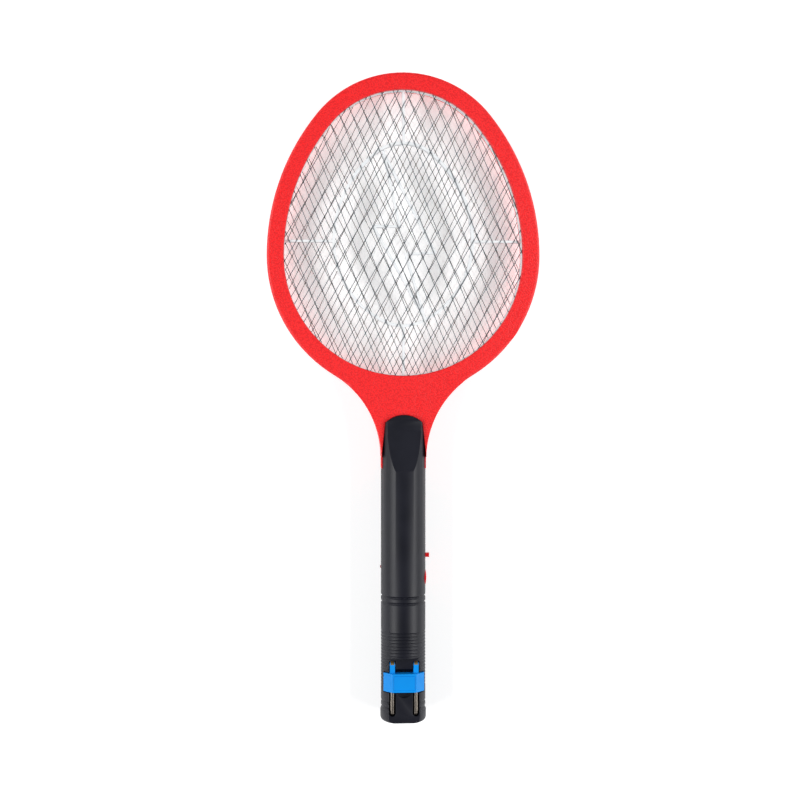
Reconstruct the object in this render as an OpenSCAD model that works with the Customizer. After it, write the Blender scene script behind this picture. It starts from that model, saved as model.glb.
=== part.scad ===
// Rechargeable electric fly swatter: a racket head with three mesh layers on a round
// two-shell handle with a fold-out mains plug, a slide switch and a push button.
//
// Modules are drawn in a working frame: the origin is the centre of the butt face on
// the handle's axis, X across, Y from the butt to the head's tip, Z out of the front.
// place() moves that frame into the part's own, which has its origin under the middle.

/* [Head] */
// Width of the head over the rim
head_w = 218.6; // [180:1:240]
// How much longer the upper half of the head is than half its width
head_rise = 36.7; // [10:1:60]
// How much longer the lower half of the outline is than half its width
head_drop = 2.2; // [1:0.5:12]
// How much smaller the end arcs' radius is than half the head's width
end_gap = 20.3; // [12:0.5:30]
// Width of the rim seen from the front
rim_w = 13.6; // [12:0.2:20]
// Thickness of the head, front face to rear face
head_t = 18; // [15:0.5:26]
// Wall of the head's two frames
head_wall = 1.8; // [1.2:0.1:2.4]
// Radius of the hollow curve from the head into the neck
neck_r = 78; // [50:1:110]

/* [Meshes] */
// Width of a guard cell
guard_cell_x = 10.5; // [8:0.5:16]
// Length of a guard cell
guard_cell_y = 21.2; // [16:0.5:30]
// Thickness of a guard mesh and of its wires
guard_wire = 0.55; // [0.4:0.05:1]
// Angle by which the front guard's cells are turned
guard_turn = -4; // [-10:1:10]
// Width of a cell of the charged mesh
hv_cell_x = 9.2; // [8:0.2:14]
// Length of a cell of the charged mesh
hv_cell_y = 13.6; // [12:0.2:20]
// Thickness of the charged mesh
hv_wire = 0.5; // [0.3:0.05:0.8]
// Depth of each spacer, which is the gap between a guard and the charged mesh
spacer_t = 3.75; // [3:0.25:5]
// Width of the spacer's outer ring
spacer_ring_w = 5.4; // [4:0.2:6]
// Width of the spacer's spokes
spoke_w = 2; // [1.2:0.1:4]
// Half width of the spacer's inner oval
oval_half_w = 57; // [40:1:65]

/* [Handle] */
// Outer diameter of the handle
handle_d = 36; // [32:0.5:44]
// Wall of the two handle shells
shell_wall = 1.8; // [1.4:0.1:2.4]
// Length of the round handle, butt to shoulder
handle_l = 212; // [205:1:260]
// Length of the tongue that overlaps the neck, shoulder to apex
tongue_l = 35; // [30:1:50]
// Half width of the tongue at its corners
tongue_half_w = 14.7; // [12:0.1:15.5]
// Height of the arch at the tongue's end
arch_h = 6; // [4:0.5:8]
// Radius of the long scoop in the tongue
scoop_r = 200; // [150:5:300]
// Depth of the scoop below the handle's crest at the tongue's end
scoop_depth = 6.5; // [4:0.5:7.5]
// How far the neck's sides reach down between the shells, below the shoulder
shoulder_gap = 8; // [6:0.5:12]
// Diameter of the flange at the butt
flange_d = 37; // [33:0.5:46]
// Length of the flange
flange_l = 9.5; // [6:0.5:14]
// Rounding of the butt's edge
butt_round = 3; // [1:0.5:4]
// Pitch of the grip's fine ribs
rib_pitch = 2.65; // [2:0.05:4]
// Depth of the notches between the ribs
rib_depth = 0.6; // [0.3:0.1:0.9]
// Depth of the four ring grooves
groove_depth = 1; // [0.5:0.1:1.2]
// Width of a ring groove
groove_w = 2.5; // [1.5:0.1:3]

/* [Plug] */
// Diameter of a plug pin
pin_d = 4; // [3:0.1:5]
// Length of a plug pin outside the block
pin_l = 19; // [15:0.5:20]
// Distance between the two pins
pin_spacing = 19; // [17:0.5:20]
// Distance from the butt to the pins' tips when folded
pin_tip_y = 6.3; // [5.5:0.1:10]
// Length of the plug's block, along the pins
block_l = 14.9; // [12:0.1:18]
// Half width of the block's front facet
block_half_w = 9.7; // [8:0.1:10.5]
// Half width of the block over its wings
wing_half_w = 16.4; // [14:0.1:18]
// Length of the arms, from the block to the hinge
arm_l = 6.5; // [5.5:0.1:9]
// Width of an arm
arm_w = 4; // [3:0.1:4.4]
// Depth of the flat on the handle's front, below the crest
flat_depth = 4.3; // [3:0.1:5]
// Gap at each side of an arm or a pin in its slot
slot_gap = 0.7; // [0.4:0.1:1]

/* [Controls] */
// Distance from the butt to the push button's centre
button_y = 115.7; // [113:0.1:118]
// Diameter of the push button
button_d = 12.4; // [9:0.1:13]
// Travel of the push button
button_travel = 1.5; // [0.5:0.1:2]
// Distance from the butt to the slide switch's knob
switch_y = 133.5; // [131:0.1:138]
// Length of the slide switch's knob
knob_l = 3.3; // [2.5:0.1:5]
// Travel of the slide switch
switch_travel = 2.5; // [1.5:0.1:4]
// Distance from the butt to the indicator lamp
led_y = 124.2; // [120:0.1:130]
// Diameter of the indicator lamp
led_d = 3; // [2:0.5:4]

/* [Hidden] */
$fn = 64;
EPS = 0.01;

// Colours
RED = [0.93, 0.08, 0.10];
CHARCOAL = [0.16, 0.17, 0.20];
BLUE = [0.05, 0.50, 0.95];
NICKEL = [0.72, 0.70, 0.66];
BRASS = [0.80, 0.66, 0.32];
STEEL = [0.62, 0.65, 0.68];
WHITE = [0.95, 0.95, 0.95];

// Clearances
running = 0.06;     // radial, between the hinge pin and the arms
sliding = 0.2;      // around the button and the knob's sides
fitting = 0.15;     // around a piece that drops into a pocket

// Outline of the head and the neck
head_half = head_w / 2;
handle_r = handle_d / 2;
flange_r = flange_d / 2;
low_side_r = head_half + (pow(head_drop + end_gap, 2) - pow(end_gap, 2)) / (2 * end_gap);
fillet_x = handle_r + neck_r;
fillet_reach = low_side_r + neck_r;
fillet_across = fillet_x + low_side_r - head_half;
head_y = handle_l + sqrt(pow(fillet_reach, 2) - pow(fillet_across, 2));
tangent_share = low_side_r / fillet_reach;
tangent_x = fillet_across * tangent_share - (low_side_r - head_half);
tangent_y = head_y - (head_y - handle_l) * tangent_share;
total_l = head_y + head_half + head_rise;
opening_low_y = head_y - (head_half - rim_w);

// Layers of the head, from the middle outwards
half_t = head_t / 2;
hv_half_t = hv_wire / 2;
spacer_top = hv_half_t + spacer_t;
guard_top = spacer_top + guard_wire;
ring_proud = 0.4;
mesh_edge = spacer_ring_w - ring_proud - 0.5;

// Screws
head_boss_d = 5.6;
head_boss_inset = 5;
head_screw = [2.2, 4.2, 1.6, 11.5];      // shank d, head d, head t, shank length
head_seat_z = -6.5;
handle_boss_d = 6.4;
handle_screw = [2.6, 4.8, 2, 18];
handle_seat_z = -9.2;
shank_gap = 0.15;
head_gap = 0.2;

// Handle, along its axis
shoulder_y = handle_l - shoulder_gap;
apex_y = handle_l + tongue_l;
corner_y = apex_y - arch_h;
arch_r = (pow(tongue_half_w, 2) + pow(arch_h, 2)) / (2 * arch_h);
tongue_z = 5.7;                 // inner face of each tongue, on the neck
butt_t = 2.2;
cavity_r = handle_r - shell_wall;
tail_l = 27;
tail_half_w = 14.5;
tail_z = tongue_z - fitting;
clamp_t = 2;
low_grooves = [11.5, 16];
high_grooves = [96.4, 101.2];
ribs_from = 30;
ribs_to = 75;

// Fold-out plug
flat_z = handle_r - flat_depth;
pin_x = pin_spacing / 2;
arm_r = 2.9;
plug_z = flat_z - arm_r - 0.3;
block_y = pin_tip_y + pin_l;
block_top_y = block_y + block_l;
hinge_y = block_top_y + arm_l;
block_z = handle_r - 2;
block_back_z = plug_z - 2.5;
wing_z = plug_z - 1.3;
hinge_pin_r = 1.25;
hinge_pin_l = 27;
slot_end_y = hinge_y + arm_r + slot_gap;
slot_tip_y = pin_tip_y - 0.8;
pocket_z = plug_z - arm_r - 0.4;
pocket_wall = 1.6;
tray_z = pocket_z - pocket_wall;
flat_end_y = slot_end_y + 2.4;
tray_end_y = flat_end_y + 1.6;
swing_gap = 0.8;
pivot_gap_l = 3.6;
root_d = 3;
root_l = block_l - 2;
contact_t = 0.3;
contact_w = 3;
leaf_t = 0.4;

// Inside the handle
board_t = 1.6;
board_top = -3;
board_y = [108.5, 171];
board_half_w = 14;
board_ribs = [board_y[0] + 18, board_y[1] - 6];
post_plug_y = hinge_y + 3.4;
post_mid_y = 104.2;
post_tail_y = shoulder_y - 14;
post_neck = [7.4, handle_l + 8.5];
battery_size = [23, 43, 18];
battery_y = 56.5;
battery_end_y = battery_y + battery_size[1];
charge_board_z = 2;
charge_board_y = [8, 44];
charge_half_w = 13;
lead_r = 0.7;

// Controls
button_r = button_d / 2;
button_face = handle_r + 0.8;
button_flange_x = sqrt(pow(cavity_r, 2) - pow(button_r + 1, 2)) - 0.3;
plunger_r = 1.5;
plunger_x = button_flange_x - 2.2;
knob_w = 4;
knob_face = handle_r + 3;
switch_depth = 4.8;
switch_x = cavity_r - 1;

module place() translate([0, -total_l / 2, flange_r]) children();

// A cylinder along X or Y, from the given point
module x_rod(r, l) rotate([0, 90, 0]) cylinder(r = r, h = l);
module y_rod(r, l) rotate([-90, 0, 0]) cylinder(r = r, h = l);

// ---- Outlines ----

// One end of an oval: two side arcs that run smoothly into an end arc
module oval_end(half_w, extra, inset) {
    r_end = half_w - end_gap;
    r_side = half_w + (pow(extra + end_gap, 2) - pow(end_gap, 2)) / (2 * end_gap);
    turn = atan2(extra + end_gap, r_side - half_w);
    join = [(r_end - inset) * cos(turn), extra + end_gap + (r_end - inset) * sin(turn)];
    intersection() {
        translate([half_w - r_side, 0]) circle(r_side - inset);
        translate([r_side - half_w, 0]) circle(r_side - inset);
        translate([-2 * half_w, 0]) square([4 * half_w, extra > 0 ? join[1] : 2 * half_w]);
    }
    if (extra > 0) {
        intersection() {
            translate([0, extra + end_gap]) circle(r_end - inset);
            translate([-2 * half_w, join[1]]) square([4 * half_w, 2 * half_w]);
        }
        translate([1 - join[0], join[1] - 1]) square([2 * join[0] - 2, 2]);
    }
}

module oval(half_w, rise, drop, inset = 0) {
    oval_end(half_w, rise, inset);
    mirror([0, 1]) oval_end(half_w, drop, inset);
}

// The head's opening, grown by out
module opening(out = 0)
    translate([0, head_y]) oval(head_half - rim_w, head_rise, 0, -out);

// The neck between the head and the shoulder
module neck_outline(inset) {
    half = handle_r - inset;
    translate([-half, shoulder_y]) square([2 * half, shoulder_gap + EPS]);
    difference() {
        translate([-tangent_x, handle_l])
            square([2 * tangent_x, tangent_y - handle_l + end_gap]);
        for (side = [-1, 1])
            translate([side * fillet_x, handle_l]) circle(neck_r + inset);
    }
}

module head_outline(inset = 0) {
    translate([0, head_y]) oval(head_half, head_rise, head_drop, inset);
    neck_outline(inset);
}

// The handle seen from the front, ending in the arched tongue
module handle_plan(inset = 0) {
    wide = handle_r + 2 - inset;
    narrow = tongue_half_w - inset;
    shoulder = handle_r - inset;
    polygon([
        [-wide, 0], [-wide, handle_l - 1], [-shoulder, handle_l], [-narrow, corner_y],
        [narrow, corner_y], [shoulder, handle_l], [wide, handle_l - 1], [wide, 0]
    ]);
    intersection() {
        translate([0, apex_y - arch_r]) circle(arch_r - inset);
        translate([-narrow, corner_y - EPS]) square([2 * narrow, 2 * arch_h]);
    }
}

// Where the head's screws stand: on the end arc, the side arcs and beside the neck
function on_arc(centre, r, angle) = [centre[0] + r * cos(angle), centre[1] + r * sin(angle)];
up_side_r = head_half + (pow(head_rise + end_gap, 2) - pow(end_gap, 2)) / (2 * end_gap);
right_spots = [
    on_arc([0, head_y + head_rise + end_gap], head_half - end_gap - head_boss_inset, 66),
    on_arc([head_half - up_side_r, head_y], up_side_r - head_boss_inset, 28),
    on_arc([head_half - up_side_r, head_y], up_side_r - head_boss_inset, 6),
    on_arc([head_half - low_side_r, head_y], low_side_r - head_boss_inset, -26),
    [30, opening_low_y - 14]
];
screw_spots = [for (spot = right_spots, side = [-1, 1]) [side * spot[0], spot[1]]];
neck_spots = [for (side = [-1, 1]) [side * post_neck[0], post_neck[1]]];

// ---- Fasteners ----

// A pan-head screw whose head seats at z = 0 and whose shank points up
module screw(size) {
    difference() {
        translate([0, 0, -size[2]]) cylinder(d = size[1], h = size[2]);
        for (turn = [0, 90])
            rotate(turn) translate([-size[1] / 3, -0.3, -size[2] - EPS])
                cube([size[1] / 1.5, 0.6, size[2] / 2]);
    }
    cylinder(d = size[0], h = size[3] - 1);
    translate([0, 0, size[3] - 1]) cylinder(d1 = size[0], d2 = size[0] / 3, h = 1);
}

// What a screw needs in a rear half: a counterbore below the seat and a clear hole above
module screw_way(size, seat_z) {
    translate([0, 0, seat_z - 20]) cylinder(d = size[1] + 2 * head_gap, h = 20);
    translate([0, 0, seat_z - EPS]) cylinder(d = size[0] + 2 * shank_gap, h = 20);
}

module head_screws()
    color(STEEL) for (spot = screw_spots)
        translate([spot[0], spot[1], head_seat_z]) screw(head_screw);

module handle_screws()
    color(STEEL)
        for (spot = concat([[0, post_plug_y], [0, post_mid_y], [0, post_tail_y]], neck_spots))
            translate([spot[0], spot[1], handle_seat_z]) screw(handle_screw);

// ---- Head ----

// The tail that the handle's shells clamp, with its hollow
module tail(inset = 0)
    translate([-tail_half_w + inset, shoulder_y - tail_l - (inset > 0 ? 1 : 0)])
        square([2 * (tail_half_w - inset), tail_l + 4]);

// One half of the head's frame, front face up, split from the other at z = 0
module frame_half() {
    hollow_from = apex_y + 2.5;
    hollow_z = half_t - head_wall;
    neck_hollow_z = tail_z - head_wall + 0.2;
    difference() {
        union() {
            difference() {
                union() {
                    linear_extrude(half_t) head_outline();
                    linear_extrude(tail_z) tail();
                }
                translate([0, 0, -1]) linear_extrude(hollow_z + 1) intersection() {
                    head_outline(head_wall);
                    translate([-head_w, hollow_from]) square([2 * head_w, total_l]);
                }
                translate([0, 0, -1]) linear_extrude(neck_hollow_z + 1) {
                    intersection() {
                        head_outline(head_wall);
                        translate([-head_w, shoulder_y + 2]) square([2 * head_w, tongue_l + 20]);
                    }
                    tail(head_wall);
                }
            }
            linear_extrude(half_t) difference() {
                opening(head_wall);
                opening();
            }
            for (spot = screw_spots)
                translate([spot[0], spot[1], 0]) cylinder(d = head_boss_d, h = half_t - EPS);
            for (spot = concat([[0, post_tail_y]], neck_spots))
                translate([spot[0], spot[1], 0]) cylinder(d = head_boss_d, h = tail_z);
        }
        translate([0, 0, -1]) linear_extrude(head_t) opening();
        translate([0, 0, -1]) linear_extrude(guard_top + 1) opening(head_wall + EPS);
        translate([0, 0, tail_z]) linear_extrude(head_t) intersection() {
            handle_plan(-fitting);
            translate([-head_w, shoulder_y]) square([2 * head_w, total_l]);
        }
        for (spot = concat([[0, post_tail_y]], neck_spots))
            translate([spot[0], spot[1], -1])
                cylinder(d = handle_screw[0] + 2 * shank_gap, h = head_t);
    }
}

module head_front_frame()
    color(RED) difference() {
        frame_half();
        for (spot = screw_spots)
            translate([spot[0], spot[1], -1])
                cylinder(d = head_screw[0], h = head_screw[3] + head_seat_z + 1.3);
    }

module head_rear_frame()
    color(RED) difference() {
        mirror([0, 0, 1]) frame_half();
        for (spot = screw_spots)
            translate([spot[0], spot[1], 0]) screw_way(head_screw, head_seat_z);
    }

// Diamond holes over the opening, kept or cut by the caller
module diamonds(cell_x, cell_y, wire, reach) {
    half_x = cell_x / 2 - wire / 2 * sqrt(cell_x * cell_x + cell_y * cell_y) / cell_y;
    half_y = half_x * cell_y / cell_x;
    half_w = head_half - rim_w + reach;
    rows = ceil(2 * (half_w + head_rise) / cell_y);
    columns = ceil(half_w / cell_x) + 1;
    for (row = [-rows:rows], column = [-columns:columns]) {
        x = (column + (row % 2 == 0 ? 0 : 0.5)) * cell_x;
        y = row * cell_y / 2;
        half_l = half_w + (y > 0 ? head_rise : 0);
        if (pow(x / half_w, 2) + pow(y / half_l, 2) < 1)
            translate([x, y])
                polygon([[half_x, 0], [0, half_y], [-half_x, 0], [0, -half_y]]);
    }
}

// A mesh's solder lug, which reaches from its lower edge into the neck
lug_w = 5;
lug_l = 9;
lug_x = 9;
module lug(x)
    translate([x - lug_w / 2, opening_low_y - mesh_edge - lug_l + 1]) square([lug_w, lug_l]);

module guard_mesh(turn, lug_side) linear_extrude(guard_wire) {
    difference() {
        opening(mesh_edge);
        intersection() {
            translate([0, head_y]) rotate(turn)
                diamonds(guard_cell_x, guard_cell_y, guard_wire, 4);
            opening(0.5);
        }
    }
    lug(lug_side * lug_x);
}

module front_guard_mesh()
    color(STEEL) translate([0, 0, spacer_top]) guard_mesh(guard_turn, -1);

module rear_guard_mesh()
    color(STEEL) translate([0, 0, -guard_top]) guard_mesh(0, -1);

module hv_mesh()
    color(NICKEL) translate([0, 0, -hv_half_t]) linear_extrude(hv_wire) {
        difference() {
            opening(mesh_edge);
            translate([0, head_y]) diamonds(hv_cell_x, hv_cell_y, hv_wire, -3);
        }
        lug(lug_x);
    }

// A clip folded over each lug, where its lead is soldered
module clip(x, z, t) {
    clip_l = 4;
    difference() {
        translate([x - lug_w / 2 + 0.5, opening_low_y - mesh_edge - lug_l + 0.6, z - 0.5])
            cube([lug_w - 1, clip_l, t + 1]);
        translate([x - lug_w, opening_low_y - mesh_edge - lug_l + 1, z])
            cube([2 * lug_w, clip_l, t]);
    }
}

module mesh_clips()
    color(BRASS) {
        clip(lug_x, -hv_half_t, hv_wire);
        clip(-lug_x, spacer_top, guard_wire);
        clip(-lug_x, -guard_top, guard_wire);
    }

// The spacer's inner oval, a little above the head's widest line
oval_up = 12;
oval_y = head_y + oval_up;
oval_rise = 22.8;
oval_drop = 11.8;
oval_w = 2.4;

// A straight rib between two points
module rib(from, to) {
    run = to - from;
    translate(from) rotate(atan2(run[1], run[0]))
        translate([0, -spoke_w / 2]) square([norm(run), spoke_w]);
}

// A white spacer: rim ring, four spokes, an oval and a zigzag brace inside the oval
module spacer() {
    opening_half = head_half - rim_w;
    brace = [[-16, 71], [25.5, -9], [2, -10], [17, -61], [-24, 12], [-3, 12], [-16, 71]];
    corner_d = spoke_w + 0.7;
    linear_extrude(spacer_t) {
        difference() {
            opening(spacer_ring_w - ring_proud);
            opening(-ring_proud);
        }
        translate([0, oval_y]) {
            for (side = [-1, 1])
                rib([side * (oval_half_w - oval_w / 2), 0], [side * (opening_half + 1.5), 0]);
            rib([0, oval_half_w + oval_rise - oval_w / 2],
                [0, opening_half + head_rise - oval_up + 1.5]);
            rib([0, oval_w / 2 - oval_half_w - oval_drop],
                [0, -opening_half - oval_up - 1.5]);
        }
        difference() {
            translate([0, oval_y]) oval(oval_half_w, oval_rise, oval_drop);
            translate([0, oval_y]) oval(oval_half_w, oval_rise, oval_drop, oval_w);
        }
        translate([0, oval_y]) for (i = [0:len(brace) - 2]) {
            rib(brace[i], brace[i + 1]);
            translate(brace[i]) circle(d = corner_d);
        }
    }
}

module front_spacer() color(WHITE) translate([0, 0, hv_half_t]) spacer();
module rear_spacer() color(WHITE) translate([0, 0, -spacer_top]) spacer();

// ---- Handle ----

// Notches in the handle's outline, from the butt up: [centre, width, depth]
rib_count = floor((ribs_to - ribs_from) / rib_pitch);
notches = concat(
    [for (y = low_grooves) [y, groove_w, groove_depth]],
    [for (i = [0:rib_count]) [ribs_from + i * rib_pitch, rib_pitch * 0.7, rib_depth]],
    [for (y = high_grooves) [y, groove_w, groove_depth]]
);
handle_profile = concat(
    [[0, 0]],
    [for (a = [0:22.5:90])
        [flange_r - butt_round * (1 - sin(a)), butt_round * (1 - cos(a))]],
    [[flange_r, flange_l - 0.5], [handle_r, flange_l]],
    [for (n = notches, i = [-1:1])
        [handle_r - (i == 0 ? n[2] : 0), n[0] + i * n[1] / 2]],
    [[handle_r, apex_y + 1], [0, apex_y + 1]]
);

// The scoop in the tongue's crest, a large cylinder lying across the handle
module scoop(inset = 0)
    translate([-handle_d, apex_y, handle_r - scoop_depth + scoop_r])
        x_rod(scoop_r + inset, 2 * handle_d, $fn = 256);

// A straight wall across the handle's bore, from y upwards
module bulkhead(y, t, z_from)
    intersection() {
        translate([0, y, 0]) y_rod(cavity_r + EPS, t);
        translate([-handle_d, y, z_from]) cube([2 * handle_d, t, handle_d]);
    }

// A screw post, from z up to the shell's wall
module post(x, y, z_from, d)
    intersection() {
        translate([x, y, z_from]) cylinder(d = d, h = handle_d);
        y_rod(handle_r - 0.5, apex_y);
        translate([-handle_d, 0, 0]) cube([2 * handle_d, 2 * apex_y, handle_d]);
    }

// One shell of the handle, crest up, split from the other at z = 0
module shell_half() {
    difference() {
        union() {
            difference() {
                intersection() {
                    rotate([-90, 0, 0]) rotate([0, 0, 180])
                        rotate_extrude(angle = 180, $fn = 128) polygon(handle_profile);
                    linear_extrude(handle_d) handle_plan();
                }
                difference() {
                    intersection() {
                        translate([0, butt_t, 0]) y_rod(cavity_r, total_l, $fn = 128);
                        translate([0, 0, -1]) linear_extrude(handle_d) handle_plan(shell_wall);
                    }
                    scoop(shell_wall);
                }
            }
            bulkhead(shoulder_y - tail_l, clamp_t, 0);
            bulkhead(shoulder_y - clamp_t, clamp_t, 0);
            post(0, post_mid_y, 0, handle_boss_d);
            post(0, post_tail_y, tail_z, handle_boss_d);
            for (spot = neck_spots) post(spot[0], spot[1], tongue_z, head_boss_d);
        }
        scoop();
        translate([-handle_d, shoulder_y, -1]) cube([2 * handle_d, total_l, tongue_z + 1]);
        translate([0, 0, -1]) linear_extrude(tail_z + 1) offset_tail();
        controls_cut();
    }
}

// Room for the neck's tail
module offset_tail()
    translate([-tail_half_w - fitting / 2, shoulder_y - tail_l - 1])
        square([2 * tail_half_w + fitting, tail_l + 2]);

// Holes for the button, the slide switch and the lamp, across the split
module controls_cut() {
    translate([0, button_y, 0]) x_rod(button_r + sliding, handle_d);
    translate([cavity_r - 3, switch_y - knob_l / 2 - sliding, -knob_w / 2 - sliding])
        cube([handle_r, knob_l + switch_travel + 2 * sliding, knob_w + 2 * sliding]);
    translate([-handle_d, led_y, 0]) x_rod(led_d / 2 + 0.1, handle_d);
}

// Slot for one pin and one arm, with a round end at the tip
module pin_slot(x) {
    slot_r = pin_d / 2 + slot_gap;
    arm_half = max(slot_r, arm_w / 2 + slot_gap);
    translate([x, 0, pocket_z]) linear_extrude(handle_d) {
        translate([0, slot_tip_y + slot_r]) circle(slot_r);
        translate([-slot_r, slot_tip_y + slot_r])
            square([2 * slot_r, block_y - slot_tip_y]);
        translate([-arm_half, block_y]) square([2 * arm_half, slot_end_y - block_y]);
    }
}

module handle_front_shell()
    color(CHARCOAL) difference() {
        union() {
            shell_half();
            intersection() {
                translate([0, butt_t - EPS, 0]) y_rod(cavity_r + 0.3, tray_end_y - butt_t);
                translate([-handle_d, 0, tray_z]) cube([2 * handle_d, handle_l, handle_d]);
            }
            post(0, post_plug_y, 0, handle_boss_d);
            for (side = [-1, 1])
                translate([side * 6.5, charge_board_y[0] + 4, charge_board_z + board_t])
                    cylinder(d = 4, h = tray_z - charge_board_z - board_t + 1);
        }
        translate([-handle_d, -1, flat_z]) cube([2 * handle_d, flat_end_y + 1, handle_d]);
        for (side = [-1, 1]) {
            pin_slot(side * pin_x);
            translate([side * pin_x - contact_w / 2 - 0.1, slot_end_y - leaf_t - 0.2, 0])
                cube([contact_w + 0.2, leaf_t + 0.2, flat_z]);
        }
        translate([-handle_d, block_y - swing_gap, pocket_z])
            cube([2 * handle_d, block_l + 2 * swing_gap, handle_d]);
        translate([-pin_x, block_top_y, pocket_z]) cube([pin_spacing, pivot_gap_l, handle_d]);
        translate([0, block_y + 1.6, flat_z - 2.5]) cylinder(r = 6.4, h = handle_d);
        translate([-hinge_pin_l / 2, hinge_y, plug_z]) x_rod(hinge_pin_r, hinge_pin_l);
        for (y = [post_plug_y, post_mid_y, post_tail_y])
            translate([0, y, -1])
                cylinder(d = handle_screw[0], h = handle_seat_z + handle_screw[3] + 1.2);
        for (spot = neck_spots)
            translate([spot[0], spot[1], 0])
                cylinder(d = handle_screw[0], h = handle_seat_z + handle_screw[3] + 0.2);
    }

module handle_rear_shell()
    color(CHARCOAL) difference() {
        union() {
            mirror([0, 0, 1]) {
                shell_half();
                post(0, post_plug_y, 0, handle_boss_d);
                for (y = board_ribs) bulkhead(y, clamp_t, board_t - board_top);
                for (y = [battery_y + 5, battery_end_y - 7])
                    bulkhead(y, clamp_t, battery_size[2] / 2);
            }
        }
        for (spot = concat([[0, post_plug_y], [0, post_mid_y], [0, post_tail_y]], neck_spots))
            translate([spot[0], spot[1], 0]) screw_way(handle_screw, handle_seat_z);
    }

// ---- Fold-out plug ----

module plug_carrier()
    color(BLUE) difference() {
        union() {
            translate([0, block_top_y, 0]) rotate([90, 0, 0]) linear_extrude(block_l)
                polygon([
                    [-block_half_w, block_z], [-wing_half_w, wing_z],
                    [-wing_half_w, block_back_z], [wing_half_w, block_back_z],
                    [wing_half_w, wing_z], [block_half_w, block_z]
                ]);
            for (side = [-1, 1])
                translate([side * pin_x - arm_w / 2, 0, 0]) {
                    translate([0, block_top_y - 1, plug_z - arm_r + 0.5])
                        cube([arm_w, arm_l + 1, 2 * arm_r - 0.5]);
                    translate([0, hinge_y, plug_z]) x_rod(arm_r, arm_w);
                }
        }
        panel_half_w = block_half_w - 1;
        translate([-panel_half_w, block_y + 1.8, block_z - 0.3])
            cube([2 * panel_half_w, block_l - 3.6, 1]);
        for (side = [-1, 1]) {
            translate([side * pin_x, block_y - EPS, plug_z]) y_rod(root_d / 2, root_l + EPS);
            translate([side * pin_x - arm_w, hinge_y, plug_z])
                x_rod(hinge_pin_r + running, 2 * arm_w);
            arm_band(side, arm_r - contact_t, arm_r + 1, 0);
        }
    }

// A band round an arm's end: the groove and the contact in it
module arm_band(side, r_in, r_out, gap)
    intersection() {
        translate([side * pin_x - contact_w / 2, hinge_y, plug_z]) difference() {
            x_rod(r_out, contact_w);
            translate([-1, 0, 0]) x_rod(r_in, contact_w + 2);
        }
        translate([-handle_d, hinge_y + 0.4 + gap, 0]) cube([2 * handle_d, 5, handle_d]);
    }

module plug_pins()
    color(NICKEL) for (side = [-1, 1])
        translate([side * pin_x, pin_tip_y, plug_z]) rotate([-90, 0, 0]) rotate_extrude()
            polygon([
                [0, 0], [pin_d / 4, 0], [pin_d / 2 - 0.3, 0.5], [pin_d / 2, 1.2],
                [pin_d / 2, pin_l], [root_d / 2, pin_l], [root_d / 2, pin_l + root_l],
                [0, pin_l + root_l]
            ]);

module plug_contacts()
    color(BRASS) for (side = [-1, 1]) arm_band(side, arm_r - contact_t, arm_r, 0);

module plug_hinge_pin()
    color(STEEL) translate([-hinge_pin_l / 2, hinge_y, plug_z]) x_rod(hinge_pin_r, hinge_pin_l);

module contact_springs()
    color(BRASS) for (side = [-1, 1])
        translate([side * pin_x - contact_w / 2, slot_end_y - leaf_t, 0]) {
            cube([contact_w, leaf_t, plug_z + 2]);
            cube([contact_w, 2.5, leaf_t]);
        }

// ---- Controls ----

module switch_knob()
    color(RED) translate([0, switch_y - knob_l / 2, -knob_w / 2]) difference() {
        translate([switch_x - 3, 0, 0]) cube([knob_face - switch_x + 3, knob_l, knob_w]);
        for (i = [1:2])
            translate([knob_face - 0.4, i * knob_l / 3 - 0.25, -1]) cube([1, 0.5, knob_w + 2]);
    }

module switch_body() {
    body_l = knob_l + switch_travel + 3;
    color(STEEL) difference() {
        translate([switch_x - switch_depth, switch_y - knob_l / 2 - 1.5, board_top])
            cube([switch_depth, body_l, -2 * board_top]);
        translate([switch_x - 3.3, switch_y - knob_l / 2 - sliding, -knob_w / 2 - sliding])
            cube([6, knob_l + switch_travel + 2 * sliding, knob_w + 2 * sliding]);
    }
}

module button_cap() {
    dome_drop = 0.8;
    dome_r = (pow(button_r, 2) + pow(dome_drop, 2)) / (2 * dome_drop);
    color(RED) translate([0, button_y, 0]) rotate([0, 90, 0]) rotate_extrude($fn = 96) {
        intersection() {
            translate([0, button_flange_x]) square([button_r, handle_r]);
            translate([0, button_face - dome_r]) circle(dome_r, $fn = 256);
        }
        translate([0, button_flange_x - 1]) square([button_r + 0.9, 1 + EPS]);
        translate([0, plunger_x]) square([plunger_r, button_flange_x - plunger_x]);
    }
}

module button_plunger()
    color(WHITE) translate([plunger_x - 1.9, button_y, 0]) x_rod(plunger_r, 1.9);

module button_switch() {
    face_x = plunger_x - 1.5;
    side = -2 * board_top;
    color(CHARCOAL) difference() {
        translate([face_x - 5, button_y - side / 2, board_top]) cube([5, side, side]);
        translate([face_x - 2.2, button_y, 0]) x_rod(plunger_r + 0.1, 5);
    }
}

module indicator_led()
    color([0.45, 0.05, 0.07]) translate([0, led_y, 0]) {
        led_r = led_d / 2;
        translate([-handle_r + 0.6, 0, 0]) x_rod(led_r, 5);
        translate([-handle_r + 0.6, 0, 0]) sphere(led_r);
        translate([-handle_r + 4.6, 0, 0]) x_rod(led_r + 0.4, 1);
        for (y = [-1, 1])
            translate([-handle_r + 5.4, y * 0.9 - 0.25, 0]) {
                translate([0, 0, -0.25]) cube([2.6, 0.5, 0.5]);
                translate([2.1, 0, board_top]) cube([0.5, 0.5, -board_top]);
            }
    }

// ---- Electronics ----

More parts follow.
